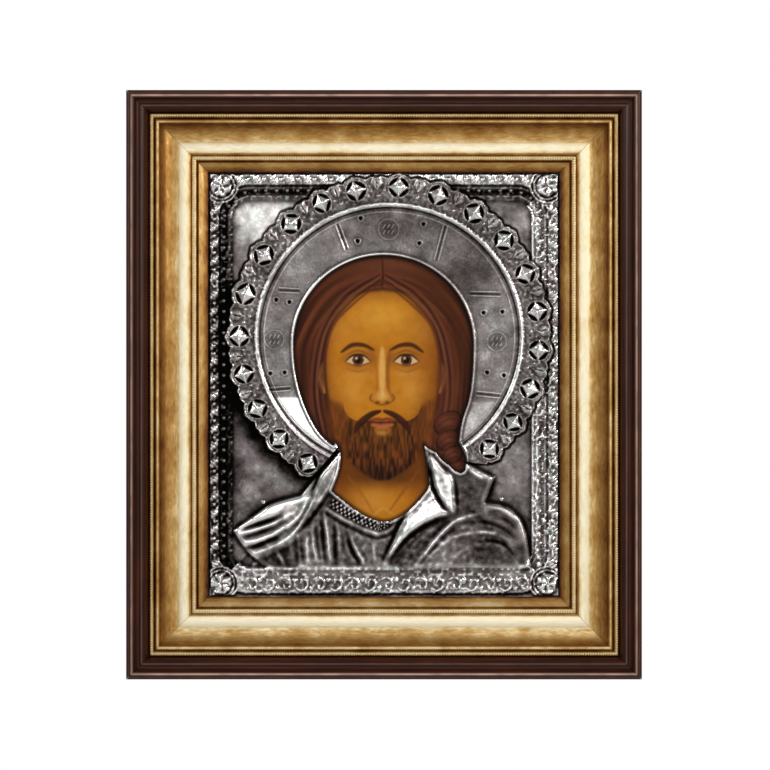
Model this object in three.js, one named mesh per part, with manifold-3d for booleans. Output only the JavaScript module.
// Icon panel: a painted board under an embossed silver cover with a separate halo, held in two nested
// mitred mouldings, a dark one outside and a gilt one inside. All sizes are millimetres.
//
// Panel coordinates: x to the right, y up from the middle of the panel, z forward from the back of the frame.
// The last lines stand the panel upright: its back is the plane y = 0, its front faces -Y, and the origin is
// where the top rail rests against the wall.
import * as THREE from 'three';
import { mergeVertices } from 'three/addons/utils/BufferGeometryUtils.js';
import Module from 'manifold-3d';

const wasm = await Module();
wasm.setup();

// Frame
const WIDTH = 280;
const HEIGHT = 320;
const DEPTH = 34;
const RAIL_WIDTH = 44;
const OUTER_RAIL_WIDTH = 12.2;
const REBATE = 4;
const LIP_UNDERSIDE = 17;
const HANG_DROP = 22; // from the frame's top edge down to the hanging point
const GAP = 0.3; // between neighbouring pieces
const MITRE_GAP = GAP / 2 / Math.SQRT1_2 / 2;

// Board and cover, in a rebate that hides a margin of them all round
const SIGHT_WIDTH = WIDTH - 2 * RAIL_WIDTH;
const SIGHT_HEIGHT = HEIGHT - 2 * RAIL_WIDTH;
const PANEL_WIDTH = SIGHT_WIDTH + 2 * REBATE - 2 * GAP;
const PANEL_HEIGHT = SIGHT_HEIGHT + 2 * REBATE - 2 * GAP;
const BOARD_BACK = 1;
const BOARD_FRONT = 15;
const BOARD_CHAMFER = 0.8;
const COVER_BACK = BOARD_FRONT + GAP;
const GROUND = LIP_UNDERSIDE - GAP; // the cover's plain ground
const ROOT = 0.5; // how far an applied form is sunk into what it stands on

// The cover's border
const BORDER = { left: 13.6, right: 15.3, top: 16, bottom: 16, height: 2, slope: 1.2, cornerRadius: 9 };
const CORNER_ROSETTE = { radius: 8, height: 3.4, lobes: 8, dent: 0.16 };

// The window for the painted head and neck
const HEAD = { x: -0.3, y: 21.7, radius: 49 };

// The halo
const HALO = { x: 3.3, y: 24.7, underside: GROUND + GAP, face: 18.8, facets: 48 };
const HALO_RIM = { radius: 74.3, width: 2.8, top: 21.6 };
const HALO_LINE = { radius: 69.8, width: 1, top: 19.5 };
const HALO_BAND = { inner: 73.4, outer: 88.6, scallop: 1.8, top: 19.5 };
const FLOWER = { count: 20, pitch: 15, first: 237, radius: 82.6, size: 4.2, well: 4.9, wellDepth: 0.9, top: 21.4 };
const LEAF = { radius: 84.2, length: 4.4, width: 2.1, top: 20.9 };
const WINDOW_RIM = { width: 2.2, top: 20 };

// The garments
const CLOTH_TOP = 18.6;
const NAIL = { head: 1.3, dome: 0.8, shank: 0.5, length: 8, hole: 0.9, holeDepth: 9 };
const NAIL_PLACES = [
  { name: 'cover_nail_left', x: -66.1, y: -64.2 },
  { name: 'cover_nail_right', x: 64.4, y: -62.6 },
];

const FINISH = {
  darkWood: new THREE.MeshStandardMaterial({ name: 'dark_wood', color: 0x3a2018, roughness: 0.35 }),
  gilding: new THREE.MeshStandardMaterial({ name: 'gilding', color: 0xc8a460, roughness: 0.4, metalness: 0.8 }),
  paintedBoard: new THREE.MeshStandardMaterial({ name: 'painted_board', color: 0x8a5a2c, roughness: 0.5 }),
  silver: new THREE.MeshStandardMaterial({ name: 'silver', color: 0xb0aeac, roughness: 0.35, metalness: 1 }),
  nail: new THREE.MeshStandardMaterial({ name: 'nail', color: 0xe0ded8, roughness: 0.25, metalness: 1 }),
};

// ---- joining and cutting ----

function solid(geometry) {
  const bare = geometry.clone();
  bare.deleteAttribute('normal');
  bare.deleteAttribute('uv');
  const merged = mergeVertices(bare, 1e-4);
  const mesh = new wasm.Mesh({
    numProp: 3,
    vertProperties: new Float32Array(merged.attributes.position.array),
    triVerts: new Uint32Array(merged.index.array),
  });
  mesh.merge();
  return new wasm.Manifold(mesh);
}

function geometryOf(body) {
  const mesh = body.getMesh();
  const geometry = new THREE.BufferGeometry();
  geometry.setAttribute('position', new THREE.BufferAttribute(new Float32Array(mesh.vertProperties), 3));
  geometry.setIndex(new THREE.BufferAttribute(new Uint32Array(mesh.triVerts), 1));
  return geometry;
}

function piece(name, geometry, material) {
  const mesh = new THREE.Mesh(geometry, material);
  mesh.name = name;
  return mesh;
}

// ---- simple forms ----

// A flat plate of the given outline between two heights.
function plate(shape, low, high, curveSegments = 6) {
  const geometry = new THREE.ExtrudeGeometry(shape, { depth: high - low, bevelEnabled: false, curveSegments });
  return solid(geometry.translate(0, 0, low));
}

// A boss whose outline draws in towards its top.
function boss(shape, low, high, slope, curveSegments = 3) {
  const geometry = new THREE.ExtrudeGeometry(shape, {
    depth: high - low - slope,
    bevelEnabled: true,
    bevelThickness: slope,
    bevelSize: slope,
    bevelOffset: -slope,
    bevelSegments: 1,
    curveSegments,
  });
  const body = solid(geometry.translate(0, 0, low));
  return body.subtract(plate(rectangle(1000, 1000), low - 2 * slope, low));
}

function rectangle(width, height) {
  const shape = new THREE.Shape();
  shape.moveTo(-width / 2, -height / 2);
  shape.lineTo(width / 2, -height / 2);
  shape.lineTo(width / 2, height / 2);
  shape.lineTo(-width / 2, height / 2);
  shape.closePath();
  return shape;
}

function polygon(points) {
  return new THREE.Shape(points.map(([x, y]) => new THREE.Vector2(x, y)));
}

// An outline given by its radius at each angle.
function polar(radiusAt, steps) {
  const points = [];
  for (let i = 0; i < steps; i += 1) {
    const angle = (2 * Math.PI * i) / steps;
    const radius = radiusAt(angle);
    points.push(new THREE.Vector2(radius * Math.cos(angle), radius * Math.sin(angle)));
  }
  return new THREE.Shape(points);
}

// A ring turned about the z axis from a closed outline of [radius, z] points.
function turned(outline, facets) {
  const points = outline.map(([radius, z]) => new THREE.Vector2(radius, z));
  points.push(points[0].clone());
  return solid(new THREE.LatheGeometry(points, facets).rotateX(Math.PI / 2));
}

// A ridge that follows a smooth line through the points and runs out to nothing at both ends.
function ridge(points, width, height, stations = 8) {
  const line = new THREE.SplineCurve(points.map(([x, y]) => new THREE.Vector2(x, y)));
  const positions = [];
  const index = [];
  for (let i = 0; i <= stations; i += 1) {
    const t = i / stations;
    const swell = 0.12 + 0.88 * Math.sin(Math.PI * t) ** 0.6;
    const at = line.getPoint(t);
    const along = line.getTangent(t);
    const side = 0.5 * width * swell;
    positions.push(at.x - along.y * side, at.y + along.x * side, CLOTH_TOP - ROOT);
    positions.push(at.x + along.y * side, at.y - along.x * side, CLOTH_TOP - ROOT);
    positions.push(at.x + along.y * 0.3 * side, at.y - along.x * 0.3 * side, CLOTH_TOP + height * swell);
    positions.push(at.x - along.y * 0.3 * side, at.y + along.x * 0.3 * side, CLOTH_TOP + height * swell);
  }
  for (let i = 0; i < stations; i += 1) {
    for (let k = 0; k < 4; k += 1) {
      const a = 4 * i + k;
      const b = 4 * i + ((k + 1) % 4);
      index.push(a, b + 4, b, a, a + 4, b + 4);
    }
  }
  const last = 4 * stations;
  index.push(0, 1, 2, 0, 2, 3, last, last + 2, last + 1, last, last + 3, last + 2);
  const geometry = new THREE.BufferGeometry();
  geometry.setAttribute('position', new THREE.BufferAttribute(new Float32Array(positions), 3));
  geometry.setIndex(index);
  return solid(geometry);
}

// ---- frame mouldings: sections in [distance in from the frame's outer edge, height] ----

function outerSection() {
  const shape = new THREE.Shape();
  shape.moveTo(0, 0);
  shape.lineTo(0, 30.4);
  shape.quadraticCurveTo(0.2, 32.2, 2.1, 32.6);
  shape.absarc(3.5, DEPTH - 1.4, 1.4, Math.PI, 0, true);
  shape.quadraticCurveTo(6.2, 30.4, 7.7, 31.5);
  shape.lineTo(8.6, 31.7);
  shape.quadraticCurveTo(11, 31, OUTER_RAIL_WIDTH, 26.8);
  shape.lineTo(OUTER_RAIL_WIDTH, 0);
  shape.closePath();
  return shape;
}

function giltSection() {
  const start = OUTER_RAIL_WIDTH + GAP;
  const shape = new THREE.Shape();
  shape.moveTo(start, 0);
  shape.lineTo(start, 27.9);
  shape.absarc(start + 1, 27.9, 1, Math.PI, 0, true);
  shape.lineTo(15.2, 26.8);
  shape.lineTo(16, 27.8);
  shape.absarc(16.9, 28.1, 0.9, Math.PI, 0, true);
  shape.bezierCurveTo(18.8, 23.6, 22, 21.8, 27.4, 21.6);
  shape.quadraticCurveTo(30.6, 22.4, 33.8, 21.6);
  shape.lineTo(34.9, 20.5);
  shape.absarc(36.3, 21.3, 1.1, Math.PI, 0, true);
  shape.lineTo(38.2, 20.6);
  shape.lineTo(39, 21.5);
  shape.lineTo(42.3, 19.7);
  shape.quadraticCurveTo(43.9, 19.4, RAIL_WIDTH, 18.6);
  shape.lineTo(RAIL_WIDTH, LIP_UNDERSIDE);
  shape.lineTo(RAIL_WIDTH - REBATE, LIP_UNDERSIDE);
  shape.lineTo(RAIL_WIDTH - REBATE, 0);
  shape.closePath();
  return shape;
}

// One mitred rail, made along the bottom edge: each section point reaches as far as the mitre allows.
function rail(section, halfLength, halfAcross) {
  const geometry = new THREE.ExtrudeGeometry(section, { depth: 1, bevelEnabled: false, curveSegments: 4 });
  const position = geometry.attributes.position;
  for (let i = 0; i < position.count; i += 1) {
    const inward = position.getX(i);
    const height = position.getY(i);
    const end = 2 * position.getZ(i) - 1;
    position.setXYZ(i, end * (halfLength - inward - MITRE_GAP), inward - halfAcross, height);
  }
  return geometry;
}

function moulding(prefix, section, material) {
  const sides = [
    { side: 'bottom', turn: 0, halfLength: WIDTH / 2, halfAcross: HEIGHT / 2 },
    { side: 'right', turn: 1, halfLength: HEIGHT / 2, halfAcross: WIDTH / 2 },
    { side: 'top', turn: 2, halfLength: WIDTH / 2, halfAcross: HEIGHT / 2 },
    { side: 'left', turn: 3, halfLength: HEIGHT / 2, halfAcross: WIDTH / 2 },
  ];
  return sides.map(({ side, turn, halfLength, halfAcross }) => {
    const mesh = piece(`${prefix}_${side}`, rail(section, halfLength, halfAcross), material);
    mesh.rotation.z = (turn * Math.PI) / 2;
    return mesh;
  });
}

// ---- window ----

// The head's circle above, the hair falling inwards at the left, the neckline, and at the right the lock of
// hair that lies on the shoulder.
function windowShape() {
  const left = HEAD.x - HEAD.radius;
  const right = HEAD.x + HEAD.radius;
  const shape = new THREE.Shape();
  shape.moveTo(right, HEAD.y);
  shape.absarc(HEAD.x, HEAD.y, HEAD.radius, 0, Math.PI / 2, false);
  shape.absarc(HEAD.x, HEAD.y, HEAD.radius, Math.PI / 2, Math.PI, false);
  shape.quadraticCurveTo(left, -2.5, -38.3, -21.6);
  shape.quadraticCurveTo(-34.5, -28.5, -27.5, -33.2);
  shape.lineTo(-26.4, -31.5);
  shape.quadraticCurveTo(-22.6, -36.5, -24.2, -44.6);
  shape.quadraticCurveTo(-25.3, -50.5, -28.8, -58.2);
  shape.quadraticCurveTo(-11.5, -73, -2.7, -74.5);
  shape.bezierCurveTo(6, -77, 16, -68, 23.9, -57.6);
  shape.lineTo(24.9, -54.5);
  shape.quadraticCurveTo(24, -44, 22, -32.6);
  shape.quadraticCurveTo(24.5, -36, 28.3, -36.8);
  shape.quadraticCurveTo(31, -41.5, 36, -44.4);
  shape.bezierCurveTo(39, -49, 45, -50, 44.8, -44.5);
  shape.quadraticCurveTo(45.5, -38, 40.7, -31.5);
  shape.quadraticCurveTo(41.5, -21, 45.4, -11.4);
  shape.quadraticCurveTo(right, 0, right, HEAD.y);
  return shape;
}

function windowHole(low, high) {
  return plate(windowShape(), low, high, 5);
}

// ---- halo ----

// Everything below the two straight ends of the halo, moved down by a clearance.
function belowHalo(drop) {
  const left = { x: -25.8, y: -37.5, endX: -60, endY: -75.2 };
  const right = { x: 43.8, y: -40.8, endX: 100, endY: -71.5 };
  const floor = -HEIGHT;
  return polygon([
    [-18, -28 - drop],
    [left.x, left.y - drop],
    [left.endX, left.endY - drop],
    [left.endX, floor],
    [right.endX, floor],
    [right.endX, right.endY - drop],
    [right.x, right.y - drop],
    [36, -28 - drop],
  ]);
}

// The wavy outer edge: a full bulge at each flower.
function haloEdge(clearance) {
  const start = THREE.MathUtils.degToRad(FLOWER.first);
  const bulges = 360 / FLOWER.pitch;
  const radiusAt = (angle) =>
    HALO_BAND.outer + clearance + HALO_BAND.scallop * Math.cos(bulges * (angle - start));
  return polar(radiusAt, 5 * bulges);
}

// The room that the halo takes above the cover's ground, with its clearance.
function haloSeat() {
  return plate(haloEdge(GAP), GROUND, DEPTH).translate([HALO.x, HALO.y, 0])
    .subtract(plate(belowHalo(1.5 * GAP), 0, DEPTH));
}

function quatrefoil(size) {
  return polar((angle) => size * (0.72 + 0.28 * Math.abs(Math.cos(2 * angle))), 8);
}

function leafShape() {
  return polar((angle) => {
    const taper = Math.cos(angle) ** 2;
    return LEAF.width + (LEAF.length - LEAF.width) * taper;
  }, 8);
}

function onHalo(body, radius, degrees) {
  const angle = THREE.MathUtils.degToRad(degrees);
  return body.rotate([0, 0, degrees]).translate([radius * Math.cos(angle), radius * Math.sin(angle), 0]);
}

function haloSolid() {
  const { underside, face, facets } = HALO;
  const rimInside = HALO_RIM.radius - HALO_RIM.width / 2;
  const rimOutside = HALO_RIM.radius + HALO_RIM.width / 2;
  let body = turned([
    [HEAD.radius - 12, underside],
    [HALO_BAND.outer - 6, underside],
    [HALO_BAND.outer - 6, HALO_BAND.top],
    [rimOutside, HALO_BAND.top],
    [rimOutside - 0.5, HALO_RIM.top - 0.3],
    [HALO_RIM.radius, HALO_RIM.top],
    [rimInside + 0.5, HALO_RIM.top - 0.3],
    [rimInside, face],
    [HALO_LINE.radius + HALO_LINE.width, face],
    [HALO_LINE.radius, HALO_LINE.top],
    [HALO_LINE.radius - HALO_LINE.width, face],
    [HEAD.radius - 12, face],
  ], facets);
  body = body.add(plate(haloEdge(0), underside, HALO_BAND.top)
    .subtract(plate(polar(() => HALO_BAND.inner, facets), 0, DEPTH)));

  const well = plate(polar(() => FLOWER.well, 10), HALO_BAND.top - FLOWER.wellDepth, DEPTH);
  const flower = boss(quatrefoil(FLOWER.size), HALO_BAND.top - FLOWER.wellDepth - ROOT, FLOWER.top, 0.9);
  const leaf = boss(leafShape(), HALO_BAND.top - ROOT, LEAF.top, 0.9);
  const flowers = [];
  const wells = [];
  const leaves = [];
  for (let i = 0; i < FLOWER.count; i += 1) {
    const degrees = FLOWER.first - i * FLOWER.pitch;
    wells.push(onHalo(well, FLOWER.radius, degrees));
    flowers.push(onHalo(flower, FLOWER.radius, degrees));
    if (i < FLOWER.count - 1) {
      leaves.push(onHalo(leaf, LEAF.radius, degrees - FLOWER.pitch / 2));
    }
  }
  body = body.subtract(wasm.Manifold.union(wells)).add(wasm.Manifold.union([...flowers, ...leaves]));
  body = body.translate([HALO.x, HALO.y, 0]);

  const windowRim = turned([
    [HEAD.radius - 1, face - ROOT],
    [HEAD.radius + WINDOW_RIM.width, face - ROOT],
    [HEAD.radius + WINDOW_RIM.width * 0.6, WINDOW_RIM.top],
    [HEAD.radius - 1, WINDOW_RIM.top],
  ], 48).translate([HEAD.x, HEAD.y, 0]);
  return body.add(windowRim)
    .subtract(windowHole(0, DEPTH))
    .subtract(plate(belowHalo(0), 0, DEPTH));
}

// ---- cover ----

function borderShape() {
  const outer = rectangle(SIGHT_WIDTH - 2 * GAP, SIGHT_HEIGHT - 2 * GAP);
  const left = -SIGHT_WIDTH / 2 + BORDER.left;
  const right = SIGHT_WIDTH / 2 - BORDER.right;
  const top = SIGHT_HEIGHT / 2 - BORDER.top;
  const bottom = -SIGHT_HEIGHT / 2 + BORDER.bottom;
  const corner = BORDER.cornerRadius;
  const hole = new THREE.Path();
  hole.moveTo(left, bottom);
  hole.lineTo(left, top - corner);
  hole.quadraticCurveTo(left + 0.3 * corner, top - 0.3 * corner, left + corner, top);
  hole.lineTo(right - corner, top);
  hole.quadraticCurveTo(right - 0.3 * corner, top - 0.3 * corner, right, top - corner);
  hole.lineTo(right, bottom);
  hole.closePath();
  outer.holes.push(hole);
  return outer;
}

function cornerRosettes() {
  const { radius, height, lobes, dent } = CORNER_ROSETTE;
  const outline = polar((angle) => radius * (1 - dent * Math.abs(Math.sin((lobes * angle) / 2))), 4 * lobes);
  const petals = boss(outline, GROUND - ROOT, GROUND + height, 1.6);
  const eye = boss(polar(() => radius * 0.34, 10), GROUND, GROUND + height + 1.2, 1);
  const rosette = petals.add(eye);
  const across = SIGHT_WIDTH / 2 - radius - 0.6;
  const up = SIGHT_HEIGHT / 2 - radius - 0.6;
  const places = [[-across, -up], [across, -up], [across, up], [-across, up]];
  return wasm.Manifold.union(places.map(([x, y]) => rosette.translate([x, y, 0])));
}

// The bust below the head: mantle, tunic and collar, cut off by the border.
function clothShape() {
  const bottom = -SIGHT_HEIGHT / 2 + BORDER.bottom - 1;
  const shape = new THREE.Shape();
  shape.moveTo(-64, bottom);
  shape.quadraticCurveTo(-74, -93, -82.2, -79.8);
  shape.lineTo(-55.2, -61.6);
  shape.lineTo(-46.4, -56.6);
  shape.lineTo(-38, -50.9);
  shape.lineTo(-20, -31);
  shape.lineTo(36, -31);
  shape.lineTo(43.8, -41.1);
  shape.lineTo(61, -50.6);
  shape.lineTo(57, -62);
  shape.quadraticCurveTo(72, -68, 76, -75);
  shape.quadraticCurveTo(80.6, -85, 80.8, bottom);
  shape.closePath();
  return shape;
}

// Folds: the line of each crest, its width and its height above the cloth.
const FOLDS = [
  // mantle at the left: upper edge, fan of three, edge strip
  { line: [[-81, -79.6], [-66, -70], [-54, -64], [-44, -60.6]], width: 7, height: 2.2 },
  { line: [[-80, -81.5], [-68, -79], [-59, -74.6]], width: 4, height: 2 },
  { line: [[-77.5, -86.5], [-60, -83], [-47, -75]], width: 5, height: 2.3 },
  { line: [[-73, -93], [-56, -88], [-44, -78]], width: 4.4, height: 1.8 },
  { line: [[-24.6, -39], [-26.4, -50], [-33, -62], [-44, -75], [-58, -87], [-74, -94]], width: 4.4, height: 2.6 },
  // tunic: four upright folds and two that swing to the middle
  { line: [[-41, -75], [-40, -86], [-38, -99]], width: 3, height: 1.4 },
  { line: [[-35.6, -72], [-35.4, -84], [-33, -99]], width: 3, height: 1.6 },
  { line: [[-30.4, -73], [-28.8, -86], [-27.2, -99]], width: 3, height: 1.5 },
  { line: [[-24, -77], [-17, -88], [-10, -99]], width: 4, height: 1.5 },
  { line: [[4.5, -84], [1.6, -91], [-3, -99]], width: 3.4, height: 1.2 },
  // collar of the tunic
  { line: [[-30, -61.6], [-17, -72], [-4, -79], [6, -79.4], [13, -75.6]], width: 5.4, height: 1.8 },
  // mantle at the right: turned-back flap, upright strip, and the big arcs over the shoulder
  { line: [[25.4, -59], [20, -72], [8, -84], [0.6, -97]], width: 6, height: 2.6 },
  { line: [[26, -60], [31, -67], [35, -70.6]], width: 4.4, height: 2.4 },
  { line: [[24, -38], [28.6, -50], [36, -64]], width: 5, height: 2.2 },
  { line: [[39.6, -50], [41.6, -58], [42.4, -68]], width: 2.6, height: 1.2 },
  { line: [[15.9, -100], [21.2, -92.4], [29.7, -82.5], [37.6, -75.3], [48, -71.4]], width: 5, height: 2.2 },
  { line: [[24, -98], [35, -84.5], [45.5, -81], [61, -81], [73, -88.6]], width: 4.4, height: 1.8 },
  { line: [[57.4, -68], [64, -70], [70.6, -72.8], [76, -80]], width: 3.6, height: 1.8 },
];

function clothSolid() {
  const crests = FOLDS.map(({ line, width, height }) => ridge(line, width, height));
  const cut = plate(clothShape(), COVER_BACK, DEPTH);
  return plate(clothShape(), GROUND - ROOT, CLOTH_TOP).add(wasm.Manifold.union(crests)).intersect(cut);
}

function nailHoles(low) {
  const hole = plate(polar(() => NAIL.hole, 8), low, DEPTH);
  return wasm.Manifold.union(NAIL_PLACES.map(({ x, y }) => hole.translate([x, y, 0])));
}

function coverSolid() {
  const sheet = plate(rectangle(PANEL_WIDTH, PANEL_HEIGHT), COVER_BACK, GROUND);
  const borderTop = GROUND + BORDER.height;
  const border = boss(borderShape(), GROUND - ROOT, borderTop, BORDER.slope, 4);
  const cloth = clothSolid().subtract(nailHoles(0));
  return sheet.add(border.add(cornerRosettes()).add(cloth).subtract(haloSeat()))
    .subtract(windowHole(0, DEPTH))
    .subtract(nailHoles(0));
}

// ---- board and nails ----

function boardSolid() {
  const body = boss(rectangle(PANEL_WIDTH, PANEL_HEIGHT), 0, BOARD_FRONT - BOARD_BACK, BOARD_CHAMFER);
  const turnedOver = body.rotate([180, 0, 0]).translate([0, 0, BOARD_FRONT]);
  return turnedOver.subtract(nailHoles(BOARD_FRONT - NAIL.holeDepth));
}

function nailGeometry() {
  const seat = GROUND + GAP;
  const profile = [
    [0, seat - NAIL.length],
    [NAIL.shank, seat - NAIL.length + 1],
    [NAIL.shank, seat],
    [NAIL.head, seat],
    [NAIL.head * 0.7, seat + NAIL.dome * 0.75],
    [0, seat + NAIL.dome],
  ];
  const points = profile.map(([radius, z]) => new THREE.Vector2(radius, z));
  return new THREE.LatheGeometry(points, 10).rotateX(Math.PI / 2);
}

// ---- assembly ----

const panel = new THREE.Group();
panel.add(...moulding('outer_rail', outerSection(), FINISH.darkWood));
panel.add(...moulding('gilt_rail', giltSection(), FINISH.gilding));
panel.add(piece('icon_board', geometryOf(boardSolid()), FINISH.paintedBoard));
panel.add(piece('riza_cover', geometryOf(coverSolid()), FINISH.silver));
panel.add(piece('halo', geometryOf(haloSolid()), FINISH.silver));
for (const { name, x, y } of NAIL_PLACES) {
  const nail = piece(name, nailGeometry(), FINISH.nail);
  nail.position.set(x, y, 0);
  panel.add(nail);
}
panel.rotation.x = Math.PI / 2;

const hung = new THREE.Group();
hung.add(panel);
hung.position.z = HANG_DROP - HEIGHT / 2;

export default hung;
